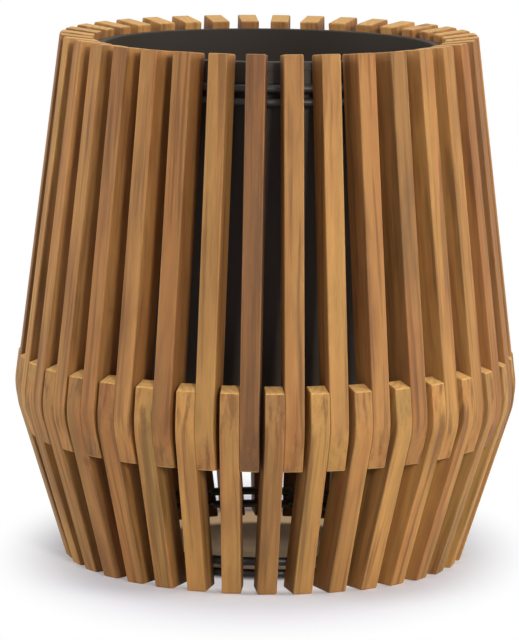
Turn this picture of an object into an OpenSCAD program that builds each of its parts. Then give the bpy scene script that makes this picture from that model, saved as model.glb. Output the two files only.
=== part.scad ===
// Round wooden floor planter of paired slats on bar hoops, with a lift-out pot.
// Millimetres. +Z is up, the floor is z = 0 and the planter's axis is the Z axis.
// A pair is an upper board that leans in and a lower board that leans out, side by side.
// They lap at the waist, where the end of each is bevelled flush with the face of the other.
// Two bar hoops near the top carry the upper boards, and two near the floor the lower ones.

/* [Outline] */
// Height over the slats
height = 510; // [480:5:560]
// Radius over the slats at their top edge
top_r = 202; // [196:1:210]
// Radius where the two straight outer faces would meet at the waist
waist_r = 244.5; // [238:0.5:252]
// Height of that meeting line above the floor
waist_z = 162; // [152:1:175]
// Radius over the slats at the floor
foot_r = 193; // [187:1:201]

/* [Slats] */
// Number of pairs
pair_count = 36; // [36:1:40]
// Least gap between neighbouring pairs, which sets the width of the slats
pair_gap = 0.5; // [0.3:0.1:2]
// Depth of a slat from its outer to its inner face
slat_d = 33; // [30:0.5:35]
// Height of the outer edge at the upper slats' lower ends
upper_end_z = 125; // [120:1:130]
// Height of the outer edge at the lower slats' upper ends
lower_end_z = 200; // [195:1:206]
// Radius of the eased edge where a slat's two outer faces meet
bend_r = 60; // [30:5:80]
// Rounding of the sawn ends
end_round = 2; // [1:0.25:3]

/* [Dowels] */
// Radius of a dowel
dowel_r = 3; // [2:0.5:4]
// Length of a dowel
dowel_l = 24; // [16:1:26]
// Height of the upper dowel over the meeting line
upper_dowel_h = 21; // [18:1:24]
// Height of the meeting line over the lower dowel
lower_dowel_h = 19; // [16:1:21]
// Glue clearance round a dowel
dowel_fit = 0.05; // [0.02:0.01:0.1]

/* [Hoops] */
// Radius of the round bar
bar_r = 4; // [3.5:0.25:4.5]
// Distance between the two bars of a hoop pair
hoop_pitch = 12.5; // [12:0.5:16]
// Height of the lower bar of the foot hoops
foot_hoop_z = 13; // [9:0.5:25]
// Depth of the saddles that seat the top hoops
top_saddle = 1; // [0.5:0.25:2]
// Depth of the saddles that seat the foot hoops
foot_saddle = 2.5; // [2:0.25:3.5]
// Clearance between a bar and its saddle
saddle_fit = 0.15; // [0.02:0.01:0.2]

/* [Screws] */
// Radius of a screw's shank
screw_r = 1.75; // [1.5:0.25:2]
// Length of a screw under its head
screw_l = 28; // [20:1:30]
// Length of a screw's point
screw_point = 4; // [2:0.5:6]
// Radius of a screw's head
head_r = 3; // [2.75:0.25:3.5]
// Height of a screw's head
head_h = 2; // [1.5:0.25:2.5]
// Depth of the flat under a screw's head, cut into the bar
spot_depth = 1.2; // [0.75:0.05:1.5]
// Length of each bar of the cross recess
recess_l = 3.2; // [2:0.2:4]
// Width of each bar of the cross recess
recess_w = 0.8; // [0.5:0.1:1.2]
// Depth of the cross recess
recess_depth = 1.2; // [0.5:0.1:1.4]
// Clearance round a screw in its bar
bar_hole_fit = 0.15; // [0.05:0.05:0.3]
// Clearance round a screw's shank in the wood
pilot_fit = 0.05; // [0.02:0.01:0.1]
// Room past the end of a screw or a dowel in its hole
end_room = 0.5; // [0.2:0.1:1]

/* [Pot] */
// Gap between the pot's rim and the slats round it
rim_gap = 1.5; // [1:0.1:2]
// Distance from the middle of the bar that carries the rim to the rim's outer face
rim_seat_in = 2.3; // [1.7:0.1:2.8]
// Height of the pot's rim
rim_h = 21; // [18:1:26]
// Thickness of the rim's skirt
skirt_t = 2.5; // [2:0.25:3]
// Depth of the band between the rim's two beads
band_depth = 0.8; // [0.4:0.1:1]
// Height of the rim's upper bead
bead_h = 8; // [5:0.5:10]
// Height of the rim's lower bead
lip_h = 4; // [3:0.2:6]
// Thickness of the pot's wall
wall_t = 3; // [2.5:0.25:4]
// Thickness of the pot's floor
floor_t = 3.5; // [3:0.25:5]
// Gap between the pot's wall and the screw heads
wall_gap = 3; // [2.5:0.25:4]
// Height of the pot over its rim
pot_h = 380; // [320:5:390]
// Radius of the pot at its floor
pot_floor_r = 130; // [110:1:140]
// Rounding at the foot of the pot's wall
pot_round = 12; // [8:1:16]
// Rounding of the rim's upper edge
rim_round = 1.2; // [0.5:0.1:1.4]
// Rounding of the rim's small edges
bead_round = 0.3; // [0.1:0.05:0.35]
// Rise of the pot's rim above the bar while it rests there
seat_gap = 0.3; // [0.1:0.1:0.5]
// Radius of a drain hole
drain_r = 5; // [3:0.5:8]
// Radius of the circle that the drain holes lie on
drain_ring_r = 80; // [50:1:100]
// Number of drain holes
drain_count = 4; // [3:1:8]

/* [Hidden] */
// Most nodes that the upper and the lower slats may take
upper_node_limit = 36;
lower_node_limit = 12;
// Segments of a full circle for large turned shapes and for bars, dowels and screws
turned_fn = 180;
round_fn = 32;
// Steps of a rounded corner and of a bend
corner_steps = 4;
bend_steps = 10;
// How far a cutting solid runs past the face that it opens
cut = 1;

pair_pitch = 360 / pair_count;
first_angle = -90;
function pair_angle(i) = first_angle + (i - 1) * pair_pitch;

// Lean of the boards from the vertical, and the directions square to their faces
lean_up = atan((waist_r - top_r) / (height - waist_z));
lean_down = atan((waist_r - foot_r) / waist_z);
square_up = [cos(lean_up), sin(lean_up)];
square_down = [cos(lean_down), -sin(lean_down)];

// Radius of each board's two long faces at height z, and of the outside of the pair
function upper_out(z) = waist_r - (z - waist_z) * tan(lean_up);
function lower_out(z) = waist_r + (z - waist_z) * tan(lean_down);
function upper_in(z) = upper_out(z) - slat_d / cos(lean_up);
function lower_in(z) = lower_out(z) - slat_d / cos(lean_down);
function outer_r(z) = min(upper_out(z), lower_out(z));

// Side outlines of the boards: x is the radius and y the height.
// An end is sawn square to its board, from the bevelled outer face at p to the inner face.
bend = [waist_r, waist_z];
function sawn_end(p, square) = p - (slat_d - square * (bend - p)) * square;
upper_end = [outer_r(upper_end_z), upper_end_z];
lower_end = [outer_r(lower_end_z), lower_end_z];
top_edge = [top_r, height];
top_inner = sawn_end(top_edge, square_up);
upper_outline = [upper_end, bend, top_edge, top_inner, sawn_end(upper_end, square_up)];
lower_outline = [[foot_r, 0], bend, lower_end, sawn_end(lower_end, square_down), [lower_in(0), 0]];
outline_rounds = [end_round, bend_r, end_round, end_round, end_round];
outline_steps = [corner_steps, bend_steps, corner_steps, corner_steps, corner_steps];

// The sides of a pair, in widths of a slat from the upper slat's middle.
// The inner faces of the two boards cross at lap_r, where neighbouring pairs come closest.
// The slats' width leaves the least gap there.
upper_side = 1 / 2;
lower_side = 1 + upper_side;
lap_r = (bend - slat_d / (1 + square_up * square_down) * (square_up + square_down))[0];
slat_w = (lap_r * sin(pair_pitch) - pair_gap) / (lower_side * cos(pair_pitch) + upper_side);

// Places across a pair: y is 0 at the upper slat's middle and falls towards the lower slat
upper_mid_y = 0;
lower_mid_y = -slat_w;
joint_y = -slat_w / 2;

// Dowels
function lap_mid_r(z) = (outer_r(z) + max(upper_in(z), lower_in(z))) / 2;
dowel_places = [for (z = [waist_z - lower_dowel_h, waist_z + upper_dowel_h]) [lap_mid_r(z), z]];

// Radius of the pot's rim, and the height where the bar in its saddles is wide enough to carry it
rim_r = top_inner[0] - rim_gap;
top_hoop_r = rim_r + rim_seat_in;
top_hoop_depth = slat_d + bar_r - top_saddle;
top_hoop_z = waist_z + (waist_r - top_hoop_depth / cos(lean_up) - top_hoop_r) / tan(lean_up);

// Hoops: ring radius, height and side offset of the slats that they carry
function top_hoop(z) = [upper_in(z) - (bar_r - top_saddle) / cos(lean_up), z, upper_mid_y];
function foot_hoop(z) = [lower_in(z) - (bar_r - foot_saddle) / cos(lean_down), z, lower_mid_y];
top_hoop_upper_at = top_hoop(top_hoop_z);
top_hoop_lower_at = top_hoop(top_hoop_z - hoop_pitch);
foot_hoop_upper_at = foot_hoop(foot_hoop_z + hoop_pitch);
foot_hoop_lower_at = foot_hoop(foot_hoop_z);
top_hoops = [top_hoop_upper_at, top_hoop_lower_at];
foot_hoops = [foot_hoop_upper_at, foot_hoop_lower_at];
head_seat = bar_r - spot_depth;

// Pot
rim_seat_z = top_hoop_z + sqrt(bar_r * bar_r - rim_seat_in * rim_seat_in) + seat_gap;
rim_top_z = rim_seat_z + rim_h;
wall_top_r = top_hoop_upper_at[0] - head_seat - head_h - wall_gap;
pot_base_z = rim_top_z - pot_h;
pot_floor_z = pot_base_z + floor_t;
skirt_in_r = rim_r - skirt_t;
skirt_top_z = rim_top_z - wall_t;

// Node names
upper_nodes = min(pair_count, upper_node_limit);
lower_nodes = min(pair_count, lower_node_limit);
function two(i) = i < 10 ? str("0", i) : str(i);
function upper_name(k) = str("upper_slat_", two(k));
function lower_name(k) = str("lower_slats_", two(k));
// First and last pair that node k of count holds
function first_pair(k, count) = floor((k - 1) * pair_count / count) + 1;
function last_pair(k, count) = floor(k * pair_count / count);

// The points of a corner of radius r at p, on the way from a to b
function corner(a, p, b, r, steps) =
    let (
        u = (a - p) / norm(a - p),
        v = (b - p) / norm(b - p),
        half = acos(max(-1, min(1, u * v))) / 2,
        middle = p + (u + v) / norm(u + v) * r / sin(half),
        start = p + u * r / tan(half) - middle,
        end = p + v * r / tan(half) - middle,
        from = atan2(start[1], start[0]),
        turn = atan2(start[0] * end[1] - start[1] * end[0], start * end)
    )
    [for (s = [0 : steps]) middle + r * [cos(from + turn * s / steps), sin(from + turn * s / steps)]];

// The path with its corners rounded, where a corner whose radius is zero stays sharp
function rounded(path, rounds, steps) =
    let (n = len(path))
    [for (i = [0 : n - 1])
        for (p = rounds[i] == 0 ? [path[i]] :
            corner(path[(i + n - 1) % n], path[i], path[(i + 1) % n], rounds[i], steps[i])) p];

// A board of the given outline, upright in the plane of the radius, with its middle at y
module board(outline, y) {
    translate([0, y + slat_w / 2, 0])
        rotate([90, 0, 0])
            linear_extrude(slat_w)
                polygon(rounded(outline, outline_rounds, outline_steps));
}

// The ring of a hoop's bar
module bar_ring(at, r) {
    translate([0, 0, at[1]])
        rotate_extrude($fn = turned_fn)
            translate([at[0], 0])
                circle(r, $fn = round_fn);
}

// Puts its children on a screw's axis: z runs outwards from the middle of the bar
module on_screw_axis(at) {
    translate([sqrt(at[0] * at[0] - at[2] * at[2]), at[2], at[1]])
        rotate([0, 90, 0])
            children();
}

module pilot_holes(hoops) {
    for (at = hoops)
        on_screw_axis(at)
            cylinder(h = screw_l - head_seat + end_room, r = screw_r + pilot_fit, $fn = round_fn);
}

module dowel_holes() {
    for (place = dowel_places)
        translate([place[0], joint_y, place[1]])
            rotate([90, 0, 0])
                cylinder(h = dowel_l + 2 * end_room, r = dowel_r + dowel_fit, center = true, $fn = round_fn);
}

module fitted_slat(outline, y, hoops) {
    difference() {
        board(outline, y);
        dowel_holes();
        pilot_holes(hoops);
        for (at = hoops)
            bar_ring(at, bar_r + saddle_fit);
    }
}

module upper_slat(k) {
    color("peru")
        for (i = [first_pair(k, upper_nodes) : last_pair(k, upper_nodes)])
            rotate([0, 0, pair_angle(i)])
                fitted_slat(upper_outline, upper_mid_y, top_hoops);
}

module lower_slats(k) {
    color("sandybrown")
        for (i = [first_pair(k, lower_nodes) : last_pair(k, lower_nodes)])
            rotate([0, 0, pair_angle(i)])
                fitted_slat(lower_outline, lower_mid_y, foot_hoops);
}

// The screw hole through a bar, and the flat for the screw's head on the side of the axis
module screw_seat() {
    translate([0, 0, -bar_r - cut]) {
        cylinder(h = 2 * (bar_r + cut), r = screw_r + bar_hole_fit, $fn = round_fn);
        cylinder(h = spot_depth + cut, r = head_r + bar_hole_fit, $fn = round_fn);
    }
}

module drilled_hoop(at) {
    color("dimgray")
        difference() {
            bar_ring(at, bar_r);
            for (i = [1 : pair_count])
                rotate([0, 0, pair_angle(i)])
                    on_screw_axis(at)
                        screw_seat();
        }
}

module top_hoop_upper() {
    drilled_hoop(top_hoop_upper_at);
}

module top_hoop_lower() {
    drilled_hoop(top_hoop_lower_at);
}

module foot_hoop_upper() {
    drilled_hoop(foot_hoop_upper_at);
}

module foot_hoop_lower() {
    drilled_hoop(foot_hoop_lower_at);
}

// A wood screw whose head seats at z = 0 and whose point is at z = screw_l
module screw() {
    difference() {
        translate([0, 0, -head_h])
            cylinder(h = head_h, r = head_r, $fn = round_fn);
        for (turn = [0, 90])
            rotate([0, 0, turn])
                translate([-recess_l / 2, -recess_w / 2, -head_h - cut])
                    cube([recess_l, recess_w, recess_depth + cut]);
    }
    cylinder(h = screw_l - screw_point, r = screw_r, $fn = round_fn);
    translate([0, 0, screw_l - screw_point])
        cylinder(h = screw_point, r1 = screw_r, r2 = 0, $fn = round_fn);
}

module screw_ring(at) {
    color("darkgray")
        for (i = [1 : pair_count])
            rotate([0, 0, pair_angle(i)])
                on_screw_axis(at)
                    translate([0, 0, -head_seat])
                        screw();
}

module top_screws_upper() {
    screw_ring(top_hoop_upper_at);
}

module top_screws_lower() {
    screw_ring(top_hoop_lower_at);
}

module foot_screws_upper() {
    screw_ring(foot_hoop_upper_at);
}

module foot_screws_lower() {
    screw_ring(foot_hoop_lower_at);
}

// Two dowels across the joint of each pair
module pair_dowels() {
    color("burlywood")
        for (i = [1 : pair_count])
            rotate([0, 0, pair_angle(i)])
                for (place = dowel_places)
                    translate([place[0], joint_y, place[1]])
                        rotate([90, 0, 0])
                            cylinder(h = dowel_l, r = dowel_r, center = true, $fn = round_fn);
}

// Outline of the pot's wall, rim and floor: x is the radius and y the height
pot_outline = [
    [0, pot_base_z],
    [pot_floor_r, pot_base_z],
    [wall_top_r, rim_seat_z],
    [wall_top_r, skirt_top_z],
    [skirt_in_r, skirt_top_z],
    [skirt_in_r, rim_seat_z],
    [rim_r, rim_seat_z],
    [rim_r, rim_seat_z + lip_h],
    [rim_r - band_depth, rim_seat_z + lip_h],
    [rim_r - band_depth, rim_top_z - bead_h],
    [rim_r, rim_top_z - bead_h],
    [rim_r, rim_top_z],
    [wall_top_r - wall_t, rim_top_z],
    [wall_top_r - wall_t, rim_seat_z],
    [pot_floor_r - wall_t, pot_floor_z],
    [0, pot_floor_z]
];
pot_rounds = [
    0, pot_round, 0,
    bead_round, bead_round, bead_round, bead_round, bead_round, bead_round, bead_round, bead_round,
    rim_round, rim_round, 0,
    pot_round - wall_t, 0
];
pot_steps = [for (r = pot_rounds) corner_steps];

module pot() {
    color("dimgray")
        difference() {
            rotate_extrude($fn = turned_fn)
                polygon(rounded(pot_outline, pot_rounds, pot_steps));
            for (i = [1 : drain_count])
                rotate([0, 0, i * 360 / drain_count])
                    translate([drain_ring_r, 0, pot_base_z - cut])
                        cylinder(h = floor_t + 2 * cut, r = drain_r, $fn = round_fn);
        }
}

for (k = [1 : upper_nodes])
    upper_slat(k);
for (k = [1 : lower_nodes])
    lower_slats(k);
top_hoop_upper();
top_hoop_lower();
foot_hoop_upper();
foot_hoop_lower();
top_screws_upper();
top_screws_lower();
foot_screws_upper();
foot_screws_lower();
pair_dowels();
pot();
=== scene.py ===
"""Looks of a round slatted floor planter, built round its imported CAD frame.

Metres, with +Z up, the floor at z = 0 and the planter's axis on the Z axis.
"""

import logging
import math
import random
from dataclasses import dataclass
from enum import Enum

import bmesh
import bpy
from mathutils import Matrix, Vector


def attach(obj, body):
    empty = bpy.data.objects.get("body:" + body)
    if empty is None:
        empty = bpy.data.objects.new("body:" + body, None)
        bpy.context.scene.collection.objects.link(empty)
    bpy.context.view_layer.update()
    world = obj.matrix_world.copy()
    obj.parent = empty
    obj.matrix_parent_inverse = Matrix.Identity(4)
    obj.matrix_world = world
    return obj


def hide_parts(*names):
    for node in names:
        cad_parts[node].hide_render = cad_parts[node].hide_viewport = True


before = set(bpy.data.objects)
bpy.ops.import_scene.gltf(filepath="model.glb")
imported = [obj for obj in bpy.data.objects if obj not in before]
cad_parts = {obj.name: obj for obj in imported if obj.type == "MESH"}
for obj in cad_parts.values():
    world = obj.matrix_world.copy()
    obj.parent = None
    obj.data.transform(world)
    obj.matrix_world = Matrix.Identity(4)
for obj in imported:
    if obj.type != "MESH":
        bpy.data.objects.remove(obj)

Socket = bpy.types.NodeSocket
Tree = bpy.types.NodeTree
BMesh = bmesh.types.BMesh
Edges = list[bmesh.types.BMEdge]

LOG = logging.getLogger("planter")
MM = 0.001
SAME_PLACE = 0.001 * MM
WHITE = (1.0, 1.0, 1.0, 1.0)


class Body(Enum):
    """The rigid bodies of the CAD frame that the pieces ride on."""

    PLANTER = "planter"
    POT = "pot"


class Slot(Enum):
    """The record's material slots."""

    WOOD = "wood"
    HOOP = "hoop_paint"
    SCREW = "screw_steel"
    POT = "pot_plastic"


class Lean(Enum):
    """The two kinds of board in a pair, by the way they lean going up."""

    INWARD = "upper"
    OUTWARD = "lower"


def linear(colour: str) -> tuple[float, float, float, float]:
    """Turns an sRGB hex colour into the linear colour that a socket takes.

    Args:
        colour: the colour as six hex digits after a hash sign.

    Returns:
        Red, green, blue and an alpha of 1.
    """
    parts = [int(colour[i : i + 2], 16) / 255 for i in (1, 3, 5)]
    red, green, blue = (p / 12.92 if p <= 0.04045 else ((p + 0.055) / 1.055) ** 2.4 for p in parts)
    return red, green, blue, 1.0


def add_node(
    tree: Tree,
    kind: str,
    settings: dict[str, object] | None = None,
    inputs: dict[str | int, object] | None = None,
) -> bpy.types.Node:
    """Adds a node with its settings and links.

    Args:
        tree: the node tree that the node joins.
        kind: the node's type name, without its ShaderNode prefix.
        settings: values of the node's own properties.
        inputs: for each socket, by name or number, its value or the output that feeds it.

    Returns:
        The new node.
    """
    node = tree.nodes.new("ShaderNode" + kind)
    for name, value in (settings or {}).items():
        setattr(node, name, value)
    for key, value in (inputs or {}).items():
        socket = node.inputs[key]
        if isinstance(value, Socket):
            tree.links.new(value, socket)
        else:
            socket.default_value = value
    return node


def calculate(tree: Tree, operation: str, *values: Socket | float) -> Socket:
    """Works out a number from others.

    Args:
        tree: the node tree.
        operation: the Math node's operation.
        values: what it works on, in order.

    Returns:
        The result.
    """
    return add_node(tree, "Math", {"operation": operation}, dict(enumerate(values))).outputs[0]


def scaled(tree: Tree, place: Socket, scale: tuple[float, float, float]) -> Socket:
    """Scales a place. A texture that is read there is long in the direction where the scale is small.

    Args:
        tree: the node tree.
        place: the place.
        scale: its scale along each axis.

    Returns:
        The scaled place.
    """
    return add_node(tree, "Mapping", inputs={"Vector": place, "Scale": scale}).outputs[0]


def noise(tree: Tree, place: Socket, scale: float, detail: float, roughness: float = 0.5) -> bpy.types.Node:
    """Adds a Noise texture.

    Args:
        tree: the node tree.
        place: where it is read.
        scale: about how many of its spots fit in a metre there.
        detail: how many finer layers it has.
        roughness: how strong the finer layers are.

    Returns:
        The texture, whose outputs are Fac and Color.
    """
    inputs = {"Vector": place, "Scale": scale, "Detail": detail, "Roughness": roughness}
    return add_node(tree, "TexNoise", inputs=inputs)


def spread(
    tree: Tree, value: Socket, start: float, end: float, low: float = 0.0, high: float = 1.0
) -> Socket:
    """Spreads a value evenly between two levels.

    Args:
        tree: the node tree.
        value: the value.
        start: the level where the value is low.
        end: the level where the value is high.
        low: the value that counts as low.
        high: the value that counts as high.

    Returns:
        The level.
    """
    inputs = {"Value": value, "From Min": low, "From Max": high, "To Min": start, "To Max": end}
    return add_node(tree, "MapRange", inputs=inputs).outputs[0]


@dataclass(frozen=True)
class Fade:
    """A level that goes smoothly from its start, where a value is low, to its end, where it is high."""

    low: float
    high: float
    start: float = 0.0
    end: float = 1.0

    def of(self, tree: Tree, value: Socket) -> Socket:
        """Gives the level for a value.

        Args:
            tree: the node tree.
            value: the value.

        Returns:
            The level.
        """
        inputs = {
            "Value": value,
            "From Min": self.low,
            "From Max": self.high,
            "To Min": self.start,
            "To Max": self.end,
        }
        return add_node(tree, "MapRange", {"interpolation_type": "SMOOTHSTEP"}, inputs).outputs[0]


def lay_over(tree: Tree, amount: Socket | float, under: Socket | str, over: str) -> Socket:
    """Lays one colour over another.

    Args:
        tree: the node tree.
        amount: how much it covers, from 0 to 1.
        under: the colour below, as an output or as a hex colour.
        over: the colour on top, as a hex colour.

    Returns:
        The mixed colour.
    """
    below = linear(under) if isinstance(under, str) else under
    inputs = {"Factor": amount, "A": below, "B": linear(over)}
    return add_node(tree, "Mix", {"data_type": "RGBA"}, inputs).outputs["Result"]


def bump(tree: Tree, height: Socket, strength: float, distance: float) -> Socket:
    """Roughens a surface by a height.

    Args:
        tree: the node tree.
        height: the height, from 0 to 1.
        strength: how much of it counts.
        distance: what a height of 1 stands for.

    Returns:
        The normal for the shader.
    """
    inputs = {"Height": height, "Strength": strength, "Distance": distance}
    return add_node(tree, "Bump", inputs=inputs).outputs[0]


def new_material(name: str) -> tuple[bpy.types.Material, Tree]:
    """Makes an empty node material.

    Args:
        name: the material's name.

    Returns:
        The material and its node tree.
    """
    material = bpy.data.materials.new(name)
    material.use_nodes = True
    tree = material.node_tree
    tree.nodes.clear()
    return material, tree


def finish_shader(tree: Tree, inputs: dict[str | int, object]) -> None:
    """Ends a material in a Principled shader.

    Args:
        tree: the material's node tree.
        inputs: the shader's sockets with their values or the outputs that feed them.
    """
    shader = add_node(tree, "BsdfPrincipled", inputs=inputs)
    add_node(tree, "OutputMaterial", inputs={"Surface": shader.outputs[0]})


def backdrop_rays(tree: Tree) -> Socket:
    """Picks the rays that see the backdrop: the camera's own, and those from glossy and clear surfaces.

    Args:
        tree: the node tree of the floor or the world.

    Returns:
        The output that is 1 for these rays and 0 for the light on the planter.
    """
    rays = add_node(tree, "LightPath").outputs
    direct = calculate(tree, "MAXIMUM", rays["Is Camera Ray"], rays["Is Glossy Ray"])
    return calculate(tree, "MAXIMUM", direct, rays["Is Transmission Ray"])


def round_edges(bm: BMesh, edges: Edges, offset: float, steps: int) -> None:
    """Rounds edges of a mesh.

    Args:
        bm: the mesh.
        edges: its edges to round.
        offset: how far the rounding reaches into the faces beside them.
        steps: the pieces of the rounding.
    """
    bmesh.ops.bevel(
        bm,
        geom=edges,
        offset=offset,
        offset_type="OFFSET",
        affect="EDGES",
        segments=steps,
        profile=0.5,
        material=-1,
        clamp_overlap=False,
    )


def new_piece(
    name: str, bm: BMesh, materials: list[bpy.types.Material], body: Body
) -> bpy.types.Object:
    """Turns a bmesh into a smooth-shaded piece that rides on a body.

    Args:
        name: the piece's name.
        bm: its mesh, in the shared frame. It is freed.
        materials: its materials, by face index.
        body: the body that it rides on.

    Returns:
        The new object, at the origin.
    """
    mesh = bpy.data.meshes.new(name)
    bm.to_mesh(mesh)
    bm.free()
    mesh.shade_smooth()
    for material in materials:
        mesh.materials.append(material)
    piece = bpy.data.objects.new(name, mesh)
    bpy.context.scene.collection.objects.link(piece)
    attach(piece, body.value)
    return piece


@dataclass(frozen=True)
class OiledAcacia:
    """Acacia boards, planed, eased along their edges and oiled.

    Oil leaves a low sheen, deepens the streaks and lets board-to-board colour show, from straw to
    red-brown. The figure is read at each point's place in its board's log: across the board, square to its
    outer face and along it, in metres.
    """

    place: str = "board_place"
    tone: str = "board_tone"

    # Colours of the board, from dark to pale, and where the two middle ones lie between the others.
    walnut: str = "#6C472B"
    russet: str = "#906134"
    honey: str = "#B27F45"
    straw: str = "#CA9750"
    russet_at: float = 0.35
    honey_at: float = 0.7

    # Colours laid over it.
    streak: str = "#5D3B1D"
    flame: str = "#A0602E"
    olive: str = "#86703A"
    knot: str = "#6A3F26"
    sawn: str = "#E6BC74"
    # The eased colour on the rounded long edges is partly edge wear and partly a painted highlight.
    eased: str = "#CE9A58"

    # Sizes of the figure across the grain, and the noise scales of its waver and its clouds.
    ring_spacing: float = 6.5 * MM
    fibre_width: float = 1.3 * MM
    streak_width: float = 5.5 * MM
    flame_width: float = 22 * MM
    knot_spacing: float = 120 * MM
    waver_scale: float = 26.0
    cloud_scale: float = 42.0

    # Scale of the figure along the grain. The smaller it is, the longer the figure.
    waver_run: float = 0.1
    fibre_run: float = 0.03
    streak_scale: tuple[float, float, float] = (1.0, 0.45, 0.03)
    flame_run: float = 0.06
    cloud_run: float = 0.2

    # How far the grain wavers, how far it steps aside at a knot, and how that fades away from the knot.
    waver: float = 16 * MM
    knot_bend: float = 7 * MM
    knot_reach: Fade = Fade(0.02, 0.22, 1.0, 0.0)

    # How much the clouds move the board's tone.
    cloud_gain: float = 1.3
    cloud_offset: float = -0.63

    # How much each colour covers the board, by the level of its texture or at most.
    knot_cover: Fade = Fade(0.02, 0.07, 0.7, 0.0)
    streak_cover: Fade = Fade(0.47, 0.68, end=0.6)
    patch_cover: Fade = Fade(0.52, 0.7, end=0.32)
    olive_cover: Fade = Fade(0.4, 0.62, 0.1, 0.6)
    flame_cover: Fade = Fade(0.48, 0.66, end=0.3)
    pore_cover: Fade = Fade(0.54, 0.68, end=0.3)
    ring_cover: float = 0.1
    end_ring_cover: float = 0.4
    sawn_cover: float = 0.62
    edge_wear_and_highlight_cover: float = 0.08

    # Light and dark fibres, and the finish.
    fibre_levels: tuple[float, float] = (0.25, 0.75)
    fibre_light: tuple[float, float] = (0.8, 1.16)
    oiled: tuple[float, float] = (0.62, 0.8)
    oiled_end: tuple[float, float] = (0.62, 0.85)
    specular: float = 0.35
    ring_relief: float = 0.35
    relief: float = 0.3
    relief_depth: float = 0.35 * MM

    def material(self, ends: bool) -> bpy.types.Material:
        """Makes the wood of the long faces or of the sawn ends.

        Args:
            ends: whether it is for the sawn ends.

        Returns:
            The material. It reads the board_place and board_tone attributes of the boards.
        """
        material, tree = new_material("sawn_acacia_ends" if ends else "oiled_acacia")
        place = add_node(tree, "Attribute", {"attribute_name": self.place}).outputs["Vector"]
        tones = add_node(tree, "Attribute", {"attribute_name": self.tone}).outputs["Vector"]
        tone = add_node(tree, "SeparateXYZ", inputs={"Vector": tones}).outputs
        bent = self.wavering(tree, place)
        near_knot = add_node(
            tree, "TexVoronoi", inputs={"Vector": bent, "Scale": 1 / self.knot_spacing, "Randomness": 1.0}
        ).outputs["Distance"]
        knot_mask = self.knot_cover.of(tree, near_knot)
        rings = self.growth_rings(tree, bent, near_knot)
        fibre_place = scaled(tree, bent, (1.0, 1.0, 1.0 if ends else self.fibre_run))
        fibres = noise(tree, fibre_place, 1 / self.fibre_width, detail=3.0, roughness=0.6).outputs["Fac"]
        cloud_place = scaled(tree, place, (1.0, 1.0, self.cloud_run))
        clouds = noise(tree, cloud_place, self.cloud_scale, detail=3.0, roughness=0.55).outputs["Fac"]

        ring_mask = spread(tree, rings, 0.0, self.end_ring_cover if ends else self.ring_cover)
        layers: list[tuple[Socket | float, str]]
        if ends:
            layers = [(self.sawn_cover, self.sawn), (ring_mask, self.honey), (knot_mask, self.knot)]
        else:
            hue = self.hues(tree, bent)
            green = calculate(tree, "MULTIPLY", tone["Y"], self.olive_cover.of(tree, hue["Y"]))
            layers = [
                (green, self.olive),
                (self.flame_cover.of(tree, hue["X"]), self.flame),
                (ring_mask, self.streak),
                (self.streak_cover.of(tree, self.streaks(tree, bent)), self.streak),
                (self.pore_cover.of(tree, fibres), self.walnut),
                (self.patch_cover.of(tree, clouds), self.streak),
                (knot_mask, self.knot),
                # Pale rounded long edges: partly edge wear, partly a painted highlight.
                (calculate(tree, "MULTIPLY", tone["Z"], self.edge_wear_and_highlight_cover), self.eased),
            ]
        colour = self.board_colour(tree, tone["X"], clouds)
        for amount, over in layers:
            colour = lay_over(tree, amount, colour, over)
        light = spread(tree, fibres, *self.fibre_light, *self.fibre_levels)
        lit = add_node(tree, "HueSaturation", inputs={"Color": colour, "Value": light}).outputs["Color"]
        height = calculate(tree, "MULTIPLY_ADD", rings, self.ring_relief, fibres)
        inputs = {
            "Base Color": lit,
            "Roughness": spread(tree, fibres, *(self.oiled_end if ends else self.oiled)),
            "Specular IOR Level": self.specular,
            "Normal": bump(tree, height, self.relief, self.relief_depth),
        }
        finish_shader(tree, inputs)
        return material

    def wavering(self, tree: Tree, place: Socket) -> Socket:
        """Lets the grain waver slowly along the board.

        Args:
            tree: the node tree.
            place: the place in the log.

        Returns:
            The place in the wavering grain.
        """
        slow_place = scaled(tree, place, (1.0, 1.0, self.waver_run))
        waver = noise(tree, slow_place, self.waver_scale, detail=2.0).outputs["Color"]
        inputs = {0: waver, 1: (self.waver, self.waver, 0.0), 2: place}
        return add_node(tree, "VectorMath", {"operation": "MULTIPLY_ADD"}, inputs).outputs[0]

    def growth_rings(self, tree: Tree, bent: Socket, near_knot: Socket) -> Socket:
        """Draws the growth rings of the log, which step aside round each knot.

        Args:
            tree: the node tree.
            bent: the place in the wavering grain.
            near_knot: the distance to the nearest knot, in knot spacings.

        Returns:
            How dark the ring is, from 0 to 1.
        """
        aside = add_node(
            tree,
            "VectorMath",
            {"operation": "SCALE"},
            {0: (self.knot_bend, self.knot_bend, 0.0), "Scale": self.knot_reach.of(tree, near_knot)},
        ).outputs[0]
        grain = add_node(tree, "VectorMath", {"operation": "ADD"}, {0: bent, 1: aside}).outputs[0]

        # A Wave texture's rings are 0.314 units apart at scale 1.
        return add_node(
            tree,
            "TexWave",
            {"wave_type": "RINGS", "rings_direction": "Z", "wave_profile": "SIN"},
            {"Vector": grain, "Scale": 0.314 / self.ring_spacing},
        ).outputs["Fac"]

    def streaks(self, tree: Tree, bent: Socket) -> Socket:
        """Draws dark streaks along the board.

        Args:
            tree: the node tree.
            bent: the place in the wavering grain.

        Returns:
            The level of the streaks.
        """
        streak_place = scaled(tree, bent, self.streak_scale)
        return noise(tree, streak_place, 1 / self.streak_width, detail=3.0).outputs["Fac"]

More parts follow.
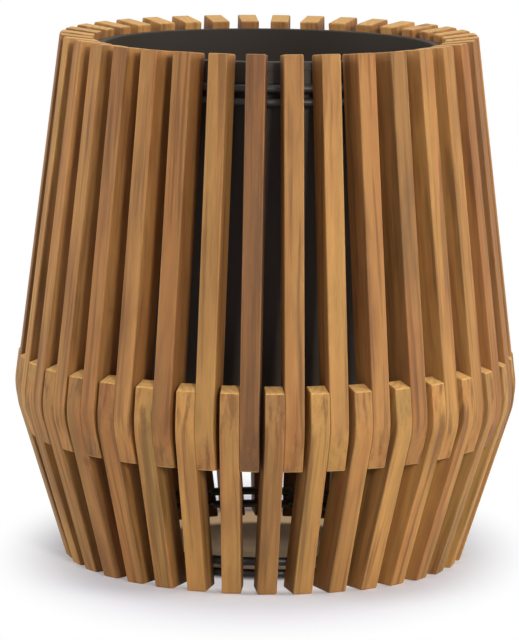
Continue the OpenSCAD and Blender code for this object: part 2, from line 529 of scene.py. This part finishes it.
    def hues(self, tree: Tree, bent: Socket) -> bpy.types.NodeOutputs:
        """Draws wide bands along the board, for its flames and its greener parts.

        Args:
            tree: the node tree.
            bent: the place in the wavering grain.

        Returns:
            The levels of the bands. X is for the flames and Y for the green.
        """
        flame_place = scaled(tree, bent, (1.0, 1.0, self.flame_run))
        bands = noise(tree, flame_place, 1 / self.flame_width, detail=2.0).outputs["Color"]
        return add_node(tree, "SeparateXYZ", inputs={"Vector": bands}).outputs

    def board_colour(self, tree: Tree, tone: Socket, clouds: Socket) -> Socket:
        """Gives the board's own tone, moved a little by the clouds in it.

        Args:
            tree: the node tree.
            tone: the board's tone, from 0 for dark to 1 for pale.
            clouds: the level of the clouds.

        Returns:
            The colour.
        """
        moved = calculate(tree, "MULTIPLY_ADD", clouds, self.cloud_gain, self.cloud_offset)
        ramp = add_node(tree, "ValToRGB", inputs={"Fac": calculate(tree, "ADD", tone, moved)})
        stops = ramp.color_ramp.elements
        stops[0].position, stops[0].color = 0.0, linear(self.walnut)
        stops[1].position, stops[1].color = 1.0, linear(self.straw)
        for position, colour in ((self.russet_at, self.russet), (self.honey_at, self.honey)):
            stops.new(position).color = linear(colour)
        return ramp.outputs["Color"]


@dataclass(frozen=True)
class PowderCoat:
    """Mild steel bar under near-black powder coat, which is satin with a faint orange peel."""

    colour: str = "#1E1D1A"
    dusty: str = "#292824"
    dust_scale: float = 60.0
    satin: tuple[float, float] = (0.38, 0.54)
    ior: float = 1.5
    peel: float = 1.6 * MM
    peel_strength: float = 0.15
    peel_depth: float = 0.1 * MM

    def material(self) -> bpy.types.Material:
        """Makes the coat."""
        material, tree = new_material("powder_coated_steel")
        place = add_node(tree, "TexCoord").outputs["Object"]
        dust = noise(tree, place, self.dust_scale, detail=4.0).outputs["Fac"]
        peel = noise(tree, place, 1 / self.peel, detail=1.0).outputs["Fac"]
        inputs = {
            "Base Color": lay_over(tree, dust, self.colour, self.dusty),
            "Roughness": spread(tree, dust, *self.satin),
            "IOR": self.ior,
            "Normal": bump(tree, peel, self.peel_strength, self.peel_depth),
        }
        finish_shader(tree, inputs)
        return material


@dataclass(frozen=True)
class BlackZinc:
    """Wood screws in black zinc, dark and dull with a little metal showing through."""

    colour: str = "#3C3934"
    worn: str = "#5C5750"
    wear_scale: float = 400.0
    dull: tuple[float, float] = (0.3, 0.5)
    metal: float = 0.7

    def material(self) -> bpy.types.Material:
        """Makes the plating."""
        material, tree = new_material("black_zinc_plating")
        place = add_node(tree, "TexCoord").outputs["Object"]
        wear = noise(tree, place, self.wear_scale, detail=3.0).outputs["Fac"]
        inputs = {
            "Base Color": lay_over(tree, wear, self.colour, self.worn),
            "Roughness": spread(tree, wear, *self.dull),
            "Metallic": self.metal,
        }
        finish_shader(tree, inputs)
        return material


@dataclass(frozen=True)
class RawBeech:
    """Dowels of raw beech, pale with short flecks. They are hidden in the boards."""

    colour: str = "#D2AE7E"
    fleck: str = "#B98F5E"
    fleck_scale: float = 700.0
    raw: float = 0.7

    def material(self) -> bpy.types.Material:
        """Makes the beech."""
        material, tree = new_material("raw_beech")
        place = add_node(tree, "TexCoord").outputs["Object"]
        flecks = noise(tree, place, self.fleck_scale, detail=2.0).outputs["Fac"]
        colour = lay_over(tree, flecks, self.colour, self.fleck)
        finish_shader(tree, {"Base Color": colour, "Roughness": self.raw})
        return material


@dataclass(frozen=True)
class MouldedPolypropylene:
    """Charcoal polypropylene, injection moulded with a fine spark-eroded texture, so it is matt all over.

    The inside is painted darker, as painted shade, and the outside paler, as painted light.
    """

    # The colour is the inside's, darkened as painted shade; the outside's paler colour is painted light.
    colour: str = "#221C16"
    mottle: str = "#28211B"
    painted_lit_outside: str = "#484038"
    mottle_scale: float = 9.0
    outside: Fade = Fade(-0.1, 0.14)
    matt: tuple[float, float] = (0.6, 0.75)
    specular: float = 0.25
    texture: float = 0.9 * MM
    texture_strength: float = 0.12
    texture_depth: float = 0.1 * MM

    def material(self) -> bpy.types.Material:
        """Makes the plastic."""
        material, tree = new_material("moulded_polypropylene")
        coordinates = add_node(tree, "TexCoord").outputs
        place = coordinates["Object"]
        mottling = noise(tree, place, self.mottle_scale, detail=4.0).outputs["Fac"]
        grain = noise(tree, place, 1 / self.texture, detail=2.0).outputs["Fac"]

        # Away from the pot's axis, a face that looks outward has a positive product.
        from_axis = scaled(tree, place, (1.0, 1.0, 0.0))
        outward = add_node(
            tree, "VectorMath", {"operation": "DOT_PRODUCT"}, {0: from_axis, 1: coordinates["Normal"]}
        ).outputs["Value"]
        # Painted shade inside and painted light outside: outward faces are painted paler.
        mottled = lay_over(tree, mottling, self.colour, self.mottle)
        inputs = {
            "Base Color": lay_over(tree, self.outside.of(tree, outward), mottled, self.painted_lit_outside),
            "Roughness": spread(tree, grain, *self.matt),
            "Specular IOR Level": self.specular,
            "Normal": bump(tree, grain, self.texture_strength, self.texture_depth),
        }
        finish_shader(tree, inputs)
        return material


@dataclass
class SlatRing:
    """The ring of paired boards: upper boards that lean in and lower boards that lean out."""

    height: float = 510 * MM
    top_r: float = 202 * MM
    waist_r: float = 244.5 * MM
    waist_z: float = 162 * MM
    foot_r: float = 193 * MM
    depth: float = 33 * MM
    width: float = 18.267 * MM
    upper_end_z: float = 125 * MM
    lower_end_z: float = 200 * MM
    pairs: int = 36
    group: int = 3

    # Roundings: of the waist, of the sawn ends and of the long edges, with the pieces of each.
    bend_r: float = 60 * MM
    bend_steps: int = 10
    end_round: float = 2 * MM
    eased: float = 1.3 * MM
    edge_steps: int = 3

    # Tones of the boards: the shape of their beta distribution, and for each kind of board the seed, the
    # shift from the wood's usual tone and how green it is. The shifts are painted shade and light: the
    # upper boards, which the lamps light more, are painted darker, and the lower boards, which face down
    # into shade, are painted paler.
    tone_shape: tuple[float, float] = (2.4, 1.4)
    upper_seed: int = 18957
    lower_seed: int = 105486
    upper_painted_shade: float = -0.08
    lower_painted_light: float = 0.05
    upper_olive: tuple[float, float] = (0.0, 0.5)
    lower_olive: tuple[float, float] = (0.4, 1.0)

    # Where a board lay in its log: millimetres from the middle, and metres along it.
    pith_mm: tuple[float, float] = (25, 90)
    log_run: tuple[float, float] = (-9, 9)

    # Cosines past which a face counts as one of the sides or as an end, and the shares of a rounding's
    # width between which a point counts as on it.
    side_cosine: float = 0.9
    end_cosine: float = 0.8
    on_rounding: tuple[float, float] = (0.02, 0.98)

    def __post_init__(self) -> None:
        """Works out the leans of the two boards and makes their wood."""
        self.lean_up = math.atan((self.waist_r - self.top_r) / (self.height - self.waist_z))
        self.lean_down = math.atan((self.waist_r - self.foot_r) / self.waist_z)
        self.bend = Vector((self.waist_r, self.waist_z))
        self.wood = [OiledAcacia().material(ends=False), OiledAcacia().material(ends=True)]

    def outer_r(self, z: float) -> float:
        """Gives the radius of the pair's outside at a height.

        Args:
            z: the height.

        Returns:
            The radius, without the easing of the waist.
        """
        upper = self.waist_r - (z - self.waist_z) * math.tan(self.lean_up)
        lower = self.waist_r + (z - self.waist_z) * math.tan(self.lean_down)
        return min(upper, lower)

    def square(self, lean: Lean) -> Vector:
        """Gives the direction square to a board's outer face, as radius and height."""
        if lean is Lean.INWARD:
            return Vector((math.cos(self.lean_up), math.sin(self.lean_up)))
        return Vector((math.cos(self.lean_down), -math.sin(self.lean_down)))

    def outline(self, lean: Lean) -> list[Vector]:
        """Gives the side outline of a board as points of radius and height.

        Args:
            lean: the kind of board.

        Returns:
            Its five corners. The second is the waist.
        """
        square = self.square(lean)

        def sawn(p: Vector) -> Vector:
            """Follows a square saw cut from the outer face at p to the inner face."""
            return p - (self.depth - square.dot(self.bend - p)) * square

        if lean is Lean.INWARD:
            end = Vector((self.outer_r(self.upper_end_z), self.upper_end_z))
            top = Vector((self.top_r, self.height))
            return [end, self.bend, top, sawn(top), sawn(end)]
        end = Vector((self.outer_r(self.lower_end_z), self.lower_end_z))
        foot = Vector((self.foot_r, 0.0))
        heel = Vector((self.foot_r - self.depth / math.cos(self.lean_down), 0.0))
        return [foot, self.bend, end, sawn(end), heel]

    def round_corner(self, bm: BMesh, corners: list[Vector], index: int) -> None:
        """Rounds one corner of a board's outline, right across the board.

        Args:
            bm: the board.
            corners: its outline.
            index: which corner.
        """
        here = corners[index]
        back = corners[index - 1] - here
        ahead = corners[(index + 1) % len(corners)] - here
        radius, steps = (self.bend_r, self.bend_steps) if index == 1 else (self.end_round, self.edge_steps)
        edges = [
            e
            for e in bm.edges
            if all((Vector((v.co.x, v.co.z)) - here).length < SAME_PLACE for v in e.verts)
        ]
        round_edges(bm, edges, radius / math.tan(back.angle(ahead) / 2), steps)

    def add_board(self, target: BMesh, lean: Lean, pair: int, shade: float) -> None:
        """Adds one board to a mesh, in its place in the ring.

        Args:
            target: the mesh that the board joins.
            lean: the kind of board.
            pair: the number of its pair, from 0 at the front.
            shade: its tone, from 0 for dark to 1 for pale.
        """
        corners = self.outline(lean)

        # The upper board is in the middle, and the lower one is a board's width beside it.
        side = -self.width / 2 if lean is Lean.INWARD else -1.5 * self.width
        bm = bmesh.new()
        face = bm.faces.new([bm.verts.new((c.x, side, c.y)) for c in corners])
        grown = bmesh.ops.extrude_face_region(bm, geom=[face])["geom"]
        far = [v for v in grown if isinstance(v, bmesh.types.BMVert)]
        bmesh.ops.translate(bm, vec=(0.0, self.width, 0.0), verts=far)
        bmesh.ops.recalc_face_normals(bm, faces=bm.faces)
        for index in range(len(corners)):
            self.round_corner(bm, corners, index)
        bm.normal_update()

        def is_side(f: bmesh.types.BMFace) -> bool:
            """Tells whether a face is one of the board's two sides."""
            return abs(f.normal.y) > self.side_cosine

        rims = [e for e in bm.edges if len(e.link_faces) == 2 and sum(map(is_side, e.link_faces)) == 1]
        round_edges(bm, rims, self.eased, self.edge_steps)
        bm.normal_update()
        self.mark_board(bm, lean, side, random.Random(2 * pair + (lean is Lean.INWARD)), shade)
        turn = math.radians(-90 + pair * 360 / self.pairs)
        bmesh.ops.rotate(bm, matrix=Matrix.Rotation(turn, 3, "Z"), verts=bm.verts)
        mesh = bpy.data.meshes.new("board")
        bm.to_mesh(mesh)
        bm.free()
        target.from_mesh(mesh)
        bpy.data.meshes.remove(mesh)

    def mark_board(self, bm: BMesh, lean: Lean, side: float, rng: random.Random, shade: float) -> None:
        """Writes where each point lies in its board's log, and the board's tone, for the wood to read.

        Args:
            bm: the board, before it is turned into place.
            lean: the kind of board.
            side: where its first side face lies.
            rng: the source of its figure.
            shade: its tone, from 0 for dark to 1 for pale.
        """
        place = bm.verts.layers.float_vector.new(OiledAcacia.place)
        tone = bm.verts.layers.float_vector.new(OiledAcacia.tone)
        square = self.square(lean)
        along = Vector((-square.y, square.x))
        turn = rng.uniform(0, math.tau)
        pith = rng.uniform(*self.pith_mm) * MM
        log = Vector((pith * math.cos(turn), pith * math.sin(turn), rng.uniform(*self.log_run)))
        olive = rng.uniform(*(self.upper_olive if lean is Lean.INWARD else self.lower_olive))
        first, last = self.on_rounding
        for v in bm.verts:
            p = Vector((v.co.x, v.co.z)) - self.bend
            across = v.co.y - side
            v[place] = Vector((across, p.dot(square), p.dot(along))) + log
            inset = min(across, self.width - across) / self.eased
            v[tone] = Vector((shade, olive, float(first < inset < last)))
        for f in bm.faces:
            is_end = abs(Vector((f.normal.x, f.normal.z)).dot(along)) > self.end_cosine
            f.material_index = int(is_end)

    def build(self) -> list[bpy.types.Object]:
        """Builds every board and lets it stand for its CAD node.

        Returns:
            The pieces: one for each upper board, and one for each group of lower boards.
        """
        upper = self.shades(self.upper_seed, self.upper_painted_shade)
        lower = self.shades(self.lower_seed, self.lower_painted_light)
        pieces = []
        for pair in range(self.pairs):
            bm = bmesh.new()
            self.add_board(bm, Lean.INWARD, pair, upper[pair])
            pieces.append(self.place_piece(bm, f"upper_board_{pair + 1:02d}", f"upper_slat_{pair + 1:02d}"))
        for k in range(self.pairs // self.group):
            bm = bmesh.new()
            for pair in range(k * self.group, (k + 1) * self.group):
                self.add_board(bm, Lean.OUTWARD, pair, lower[pair])
            pieces.append(self.place_piece(bm, f"lower_boards_{k + 1:02d}", f"lower_slats_{k + 1:02d}"))
        return pieces

    def shades(self, seed: int, shift: float) -> list[float]:
        """Draws a tone for each board of one kind.

        Args:
            seed: the seed of the draw.
            shift: how much paler than the wood's usual tone, as painted light, or darker, as painted shade.

        Returns:
            The tones, from about 0 for dark to about 1 for pale. Most lie in the upper half.
        """
        rng = random.Random(seed)
        return [rng.betavariate(*self.tone_shape) + shift for _ in range(self.pairs)]

    def place_piece(self, bm: BMesh, name: str, node: str) -> bpy.types.Object:
        """Makes a piece of boards that stands for a CAD node.

        Args:
            bm: the boards' mesh. It is freed.
            name: the piece's name.
            node: the CAD node.

        Returns:
            The piece.
        """
        piece = new_piece(name, bm, self.wood, Body.PLANTER)
        weighted = piece.modifiers.new("flat_faces_stay_flat", "WEIGHTED_NORMAL")
        weighted.keep_sharp = True
        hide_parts(node)
        return piece


@dataclass
class HoopsAndFixings:
    """The four bar hoops, their screws and the hidden dowels."""

    hoops: tuple[str, ...] = ("top_hoop_upper", "top_hoop_lower", "foot_hoop_upper", "foot_hoop_lower")
    screws: tuple[str, ...] = (
        "top_screws_upper",
        "top_screws_lower",
        "foot_screws_upper",
        "foot_screws_lower",
    )
    dowels: str = "pair_dowels"

    # Distance within which points are joined, and the angle past which an edge stays sharp.
    merge: float = 0.01 * MM
    sharp: float = math.radians(32)

    def dressed(self, node: str, name: str, material: bpy.types.Material) -> bpy.types.Object:
        """Makes a piece from a CAD node's own shape, with its triangles joined so that it shades smoothly.

        Args:
            node: the CAD node that the piece stands for.
            name: the piece's name.
            material: its material.

        Returns:
            The new object.
        """
        bm = bmesh.new()
        bm.from_mesh(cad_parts[node].data)
        bmesh.ops.remove_doubles(bm, verts=bm.verts, dist=self.merge)
        for face in bm.faces:
            face.material_index = 0
        piece = new_piece(name, bm, [material], Body.PLANTER)
        piece.data.set_sharp_from_angle(angle=self.sharp)
        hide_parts(node)
        return piece

    def build(self) -> list[bpy.types.Object]:
        """Dresses the bars and screws, and gives the dowels their wood.

        Returns:
            The new pieces.
        """
        coat, zinc = PowderCoat().material(), BlackZinc().material()
        pieces = [self.dressed(node, node + "_bar", coat) for node in self.hoops]
        pieces += [self.dressed(node, node + "_set", zinc) for node in self.screws]
        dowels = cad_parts[self.dowels]
        dowels.data.materials.clear()
        dowels.data.materials.append(RawBeech().material())
        return pieces


@dataclass
class LiftOutPot:
    """The moulded pot that hangs by its hollow rim on the upper hoop."""

    rim_r: float = 167.743 * MM
    seat_z: float = 478.274 * MM
    rim_h: float = 21 * MM
    skirt: float = 2.5 * MM
    band: float = 0.8 * MM
    bead_h: float = 8 * MM
    lip_h: float = 4 * MM
    wall: float = 3 * MM
    wall_r: float = 162.243 * MM
    pot_h: float = 380 * MM
    floor: float = 3.5 * MM
    floor_r: float = 130 * MM
    foot_round: float = 12 * MM
    rim_round: float = 1.2 * MM
    bead_round: float = 0.3 * MM
    drain_r: float = 5 * MM
    drain_ring: float = 80 * MM
    drains: int = 4

    # Steps of the full turn, of a drain hole and of a rounded corner, and the angle past which an edge
    # stays sharp.
    steps: int = 216
    drain_steps: int = 24
    round_steps: int = 5
    sharp: float = math.radians(40)

    @property
    def top(self) -> float:
        """The height of the rim's upper edge."""
        return self.seat_z + self.rim_h

    @property
    def base(self) -> float:
        """The height of the pot's underside."""
        return self.top - self.pot_h

    def profile(self) -> list[tuple[Vector, float]]:
        """Gives the pot's section without its flat floor, as corners of radius and height.

        Returns:
            Each corner with the radius that rounds it, from the underside's edge to the inner floor's edge.
        """
        top, base = self.top, self.base
        inner = self.wall_r - self.wall
        bead = self.bead_round
        return [
            (Vector((self.floor_r - 2 * self.foot_round, base)), 0.0),
            (Vector((self.floor_r, base)), self.foot_round),
            (Vector((self.wall_r, self.seat_z)), 0.0),
            (Vector((self.wall_r, top - self.wall)), bead),
            (Vector((self.rim_r - self.skirt, top - self.wall)), bead),
            (Vector((self.rim_r - self.skirt, self.seat_z)), bead),
            (Vector((self.rim_r, self.seat_z)), bead),
            (Vector((self.rim_r, self.seat_z + self.lip_h)), bead),
            (Vector((self.rim_r - self.band, self.seat_z + self.lip_h)), bead),
            (Vector((self.rim_r - self.band, top - self.bead_h)), bead),
            (Vector((self.rim_r, top - self.bead_h)), bead),
            (Vector((self.rim_r, top)), self.rim_round),
            (Vector((inner, top)), self.rim_round),
            (Vector((inner, self.seat_z)), 0.0),
            (Vector((self.floor_r - self.wall, base + self.floor)), self.foot_round - self.wall),
            (Vector((self.floor_r - 2 * self.foot_round, base + self.floor)), 0.0),
        ]

    def section(self) -> list[Vector]:
        """Rounds the corners of the profile.

        Returns:
            The points of the section in order.
        """
        corners = self.profile()
        points: list[Vector] = []
        for i, (p, radius) in enumerate(corners):
            if radius == 0:
                points.append(p)
                continue
            u = (corners[i - 1][0] - p).normalized()
            v = (corners[i + 1][0] - p).normalized()
            half = u.angle(v) / 2
            middle = p + (u + v).normalized() * radius / math.sin(half)
            start = (p + u * radius / math.tan(half) - middle).normalized()
            end = (p + v * radius / math.tan(half) - middle).normalized()
            shares = (k / self.round_steps for k in range(self.round_steps + 1))
            points += [middle + radius * start.slerp(end, share) for share in shares]
        return points

    def add_floor(self, bm: BMesh, z: float, rim: Edges) -> list[Edges]:
        """Fills one flat face of the floor, round the drain holes.

        Args:
            bm: the pot.
            z: the height of the face.
            rim: the edges round it.

        Returns:
            The edges of each drain hole.
        """
        holes = []
        for k in range(self.drains):
            turn = math.tau * k / self.drains
            x, y = self.drain_ring * math.cos(turn), self.drain_ring * math.sin(turn)
            ring = bmesh.ops.create_circle(
                bm, segments=self.drain_steps, radius=self.drain_r, matrix=Matrix.Translation((x, y, z))
            )["verts"]
            holes.append(list({e for v in ring for e in v.link_edges}))
        bmesh.ops.triangle_fill(bm, use_beauty=True, edges=rim + [e for hole in holes for e in hole])
        return holes

    def build(self) -> list[bpy.types.Object]:
        """Spins the pot, closes its floor round the drain holes and lets it stand for the CAD node.

        Returns:
            The pot alone, as a list.
        """
        bm = bmesh.new()
        verts = [bm.verts.new((p.x, 0.0, p.y)) for p in self.section()]
        edges = [bm.edges.new(pair) for pair in zip(verts, verts[1:])]
        bmesh.ops.spin(
            bm,
            geom=verts + edges,
            cent=(0.0, 0.0, 0.0),
            axis=(0.0, 0.0, 1.0),
            angle=math.tau,
            steps=self.steps,
            use_merge=True,
        )
        bmesh.ops.remove_doubles(bm, verts=bm.verts, dist=SAME_PLACE)
        open_edges = [e for e in bm.edges if e.is_boundary]
        middle = self.base + self.floor / 2
        under = [e for e in open_edges if e.verts[0].co.z < middle]
        inside = [e for e in open_edges if e.verts[0].co.z > middle]
        low_holes = self.add_floor(bm, self.base, under)
        high_holes = self.add_floor(bm, self.base + self.floor, inside)
        for low, high in zip(low_holes, high_holes):
            bmesh.ops.bridge_loops(bm, edges=low + high)
        bmesh.ops.recalc_face_normals(bm, faces=bm.faces)
        piece = new_piece("lift_out_pot", bm, [MouldedPolypropylene().material()], Body.POT)
        piece.data.set_sharp_from_angle(angle=self.sharp)
        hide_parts("pot")
        return [piece]


@dataclass(frozen=True)
class PaleFloor:
    """A plain pale floor that keeps the planter's shadow and is plain white further away.

    Between the feet it glows for the camera with painted light, cool at the front and warm behind.
    Under the planter it is tinted warm, as painted bounce light from the boards.
    """

    size: float = 30.0
    # The warm tint under the planter is painted bounce light; front and behind colour a painted glow.
    pale: str = "#EAEDF3"
    under: str = "#D9BD9A"
    front: str = "#FFFAFC"
    behind: str = "#CEAE87"

    # The shadow's half width and half depth, and the shares of them between which it fades to white.
    shadow_x: float = 0.275
    shadow_y: float = 0.4
    whitening: Fade = Fade(0.6, 1.0)

    # Radii between which the painted warm bounce light under the planter turns pale, and the edges
    # of the ring of painted glow.
    under_r: tuple[float, float] = (0.15, 0.2)
    painted_glow_inside: Fade = Fade(0.12, 0.14, end=0.55)
    painted_glow_outside: Fade = Fade(0.17, 0.2, 1.0, 0.0)
    front_to_behind: Fade = Fade(-0.08, 0.08)

    def lay(self) -> None:
        """Lays the floor at z = 0."""
        bm = bmesh.new()
        bmesh.ops.create_grid(bm, x_segments=1, y_segments=1, size=self.size / 2)
        mesh = bpy.data.meshes.new("studio_floor")
        bm.to_mesh(mesh)
        bm.free()
        mesh.materials.append(self.material())
        floor = bpy.data.objects.new("studio_floor", mesh)
        bpy.context.scene.collection.objects.link(floor)

    def material(self) -> bpy.types.Material:
        """Makes the floor's material."""
        material, tree = new_material("pale_studio_floor")
        place = add_node(tree, "TexCoord").outputs["Object"]
        seen = backdrop_rays(tree)
        reach = add_node(tree, "VectorMath", {"operation": "LENGTH"}, {0: place}).outputs["Value"]
        # Painted bounce light: the floor under the planter is tinted warm.
        tint = lay_over(tree, spread(tree, reach, 0.0, 1.0, *self.under_r), self.under, self.pale)
        plain = add_node(tree, "BsdfDiffuse", inputs={"Color": tint}).outputs[0]

        # Painted light: a glow seen only by backdrop rays, in a ring between the feet, warm behind.
        depth = add_node(tree, "SeparateXYZ", inputs={"Vector": place}).outputs["Y"]
        light = lay_over(tree, self.front_to_behind.of(tree, depth), self.front, self.behind)
        glow = add_node(tree, "Emission", inputs={"Color": light, "Strength": 1.0}).outputs[0]
        inside, outside = self.painted_glow_inside.of(tree, reach), self.painted_glow_outside.of(tree, reach)
        ring_seen = calculate(tree, "MULTIPLY", seen, calculate(tree, "MULTIPLY", inside, outside))
        near = add_node(tree, "MixShader", inputs={0: ring_seen, 1: plain, 2: glow}).outputs[0]

        oval = scaled(tree, place, (1 / self.shadow_x, 1 / self.shadow_y, 1.0))
        away = add_node(tree, "VectorMath", {"operation": "LENGTH"}, {0: oval}).outputs["Value"]
        white_seen = calculate(tree, "MULTIPLY", seen, self.whitening.of(tree, away))
        white = add_node(tree, "Emission", inputs={"Color": WHITE, "Strength": 1.0}).outputs[0]
        surface = add_node(tree, "MixShader", inputs={0: white_seen, 1: near, 2: white}).outputs[0]
        add_node(tree, "OutputMaterial", inputs={"Surface": surface})
        return material


@dataclass(frozen=True)
class SoftLamp:
    """A square soft lamp that faces the planter."""

    name: str
    place: tuple[float, float, float]
    size: float
    watts: float
    colour: str = "#FFFAF0"
    aim: tuple[float, float, float] = (0.0, 0.0, 0.25)

    def hang(self) -> None:
        """Hangs the lamp in its place."""
        data = bpy.data.lights.new(self.name, "AREA")
        data.shape, data.size, data.energy = "SQUARE", self.size, self.watts
        data.color = linear(self.colour)[:3]
        lamp = bpy.data.objects.new(self.name, data)
        lamp.location = self.place
        lamp.rotation_euler = (Vector(self.aim) - Vector(self.place)).to_track_quat("-Z", "Y").to_euler()
        bpy.context.scene.collection.objects.link(lamp)


@dataclass(frozen=True)
class FittedCamera:
    """The camera that was fitted to the photograph. Its angles are in radians, its pixels the image's."""

    distance: float = 4.007
    height: float = 0.890
    azimuth: float = math.radians(3.46)
    pitch: float = 0.1625
    roll: float = 0.0109
    focal_px: float = 4160.9
    centre_px: tuple[float, float] = (266.17, 316.51)
    image_px: tuple[int, int] = (519, 640)
    sensor_mm: float = 36.0
    nearest: float = 0.1
    farthest: float = 60.0

    def place(self) -> None:
        """Places the camera and makes it the scene's."""
        data = bpy.data.cameras.new("camera")
        longest = max(self.image_px)
        data.sensor_width = self.sensor_mm
        data.lens = self.focal_px * self.sensor_mm / longest
        data.shift_x = (self.image_px[0] / 2 - self.centre_px[0]) / longest
        data.shift_y = (self.centre_px[1] - self.image_px[1] / 2) / longest
        data.clip_start, data.clip_end = self.nearest, self.farthest
        camera = bpy.data.objects.new("camera", data)
        tilt = Matrix.Rotation(math.pi / 2 - self.pitch, 4, "X") @ Matrix.Rotation(self.roll, 4, "Z")
        stand = Matrix.Translation((0.0, -self.distance, self.height))
        camera.matrix_world = Matrix.Rotation(self.azimuth, 4, "Z") @ stand @ tilt
        bpy.context.scene.collection.objects.link(camera)
        bpy.context.scene.camera = camera


@dataclass(frozen=True)
class Studio:
    """A plain pale studio: floor, even light, soft lamps and the camera at the photograph's angle."""

    even_colour: str = "#DCE1FF"
    even_strength: float = 0.38
    lamps: tuple[SoftLamp, ...] = (
        SoftLamp("key_lamp", (1.12, -3.0, 1.35), 0.5, 57.0),
        SoftLamp("right_lamp", (2.9, -0.45, 1.3), 1.2, 50.0),
        SoftLamp("left_lamp", (-2.75, -0.6, 1.3), 1.4, 39.0),
        SoftLamp("overhead_lamp", (0.0, 0.3, 2.7), 1.6, 20.0),
    )

    def light_world(self) -> None:
        """Fills the studio with even light and keeps what is seen of it white."""
        world = bpy.data.worlds.new("studio")
        bpy.context.scene.world = world
        world.use_nodes = True
        tree = world.node_tree
        tree.nodes.clear()
        even_light = {"Color": linear(self.even_colour), "Strength": self.even_strength}
        even = add_node(tree, "Background", inputs=even_light).outputs[0]
        white = add_node(tree, "Background", inputs={"Color": WHITE, "Strength": 1.0}).outputs[0]
        mixed = add_node(tree, "MixShader", inputs={0: backdrop_rays(tree), 1: even, 2: white}).outputs[0]
        add_node(tree, "OutputWorld", inputs={"Surface": mixed})

    def build(self) -> None:
        """Sets up the floor, the light and the camera."""
        bpy.context.scene.view_settings.view_transform = "Standard"
        PaleFloor().lay()
        self.light_world()
        for lamp in self.lamps:
            lamp.hang()
        FittedCamera().place()


def main() -> None:
    """Builds the planter's pieces and the studio."""
    logging.basicConfig(level=logging.INFO, format="%(name)s: %(message)s")
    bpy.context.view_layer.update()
    for part in (SlatRing(), HoopsAndFixings(), LiftOutPot()):
        for piece in part.build():
            LOG.info("%s has %d faces", piece.name, len(piece.data.polygons))
    Studio().build()


if __name__ == "__main__":
    main()
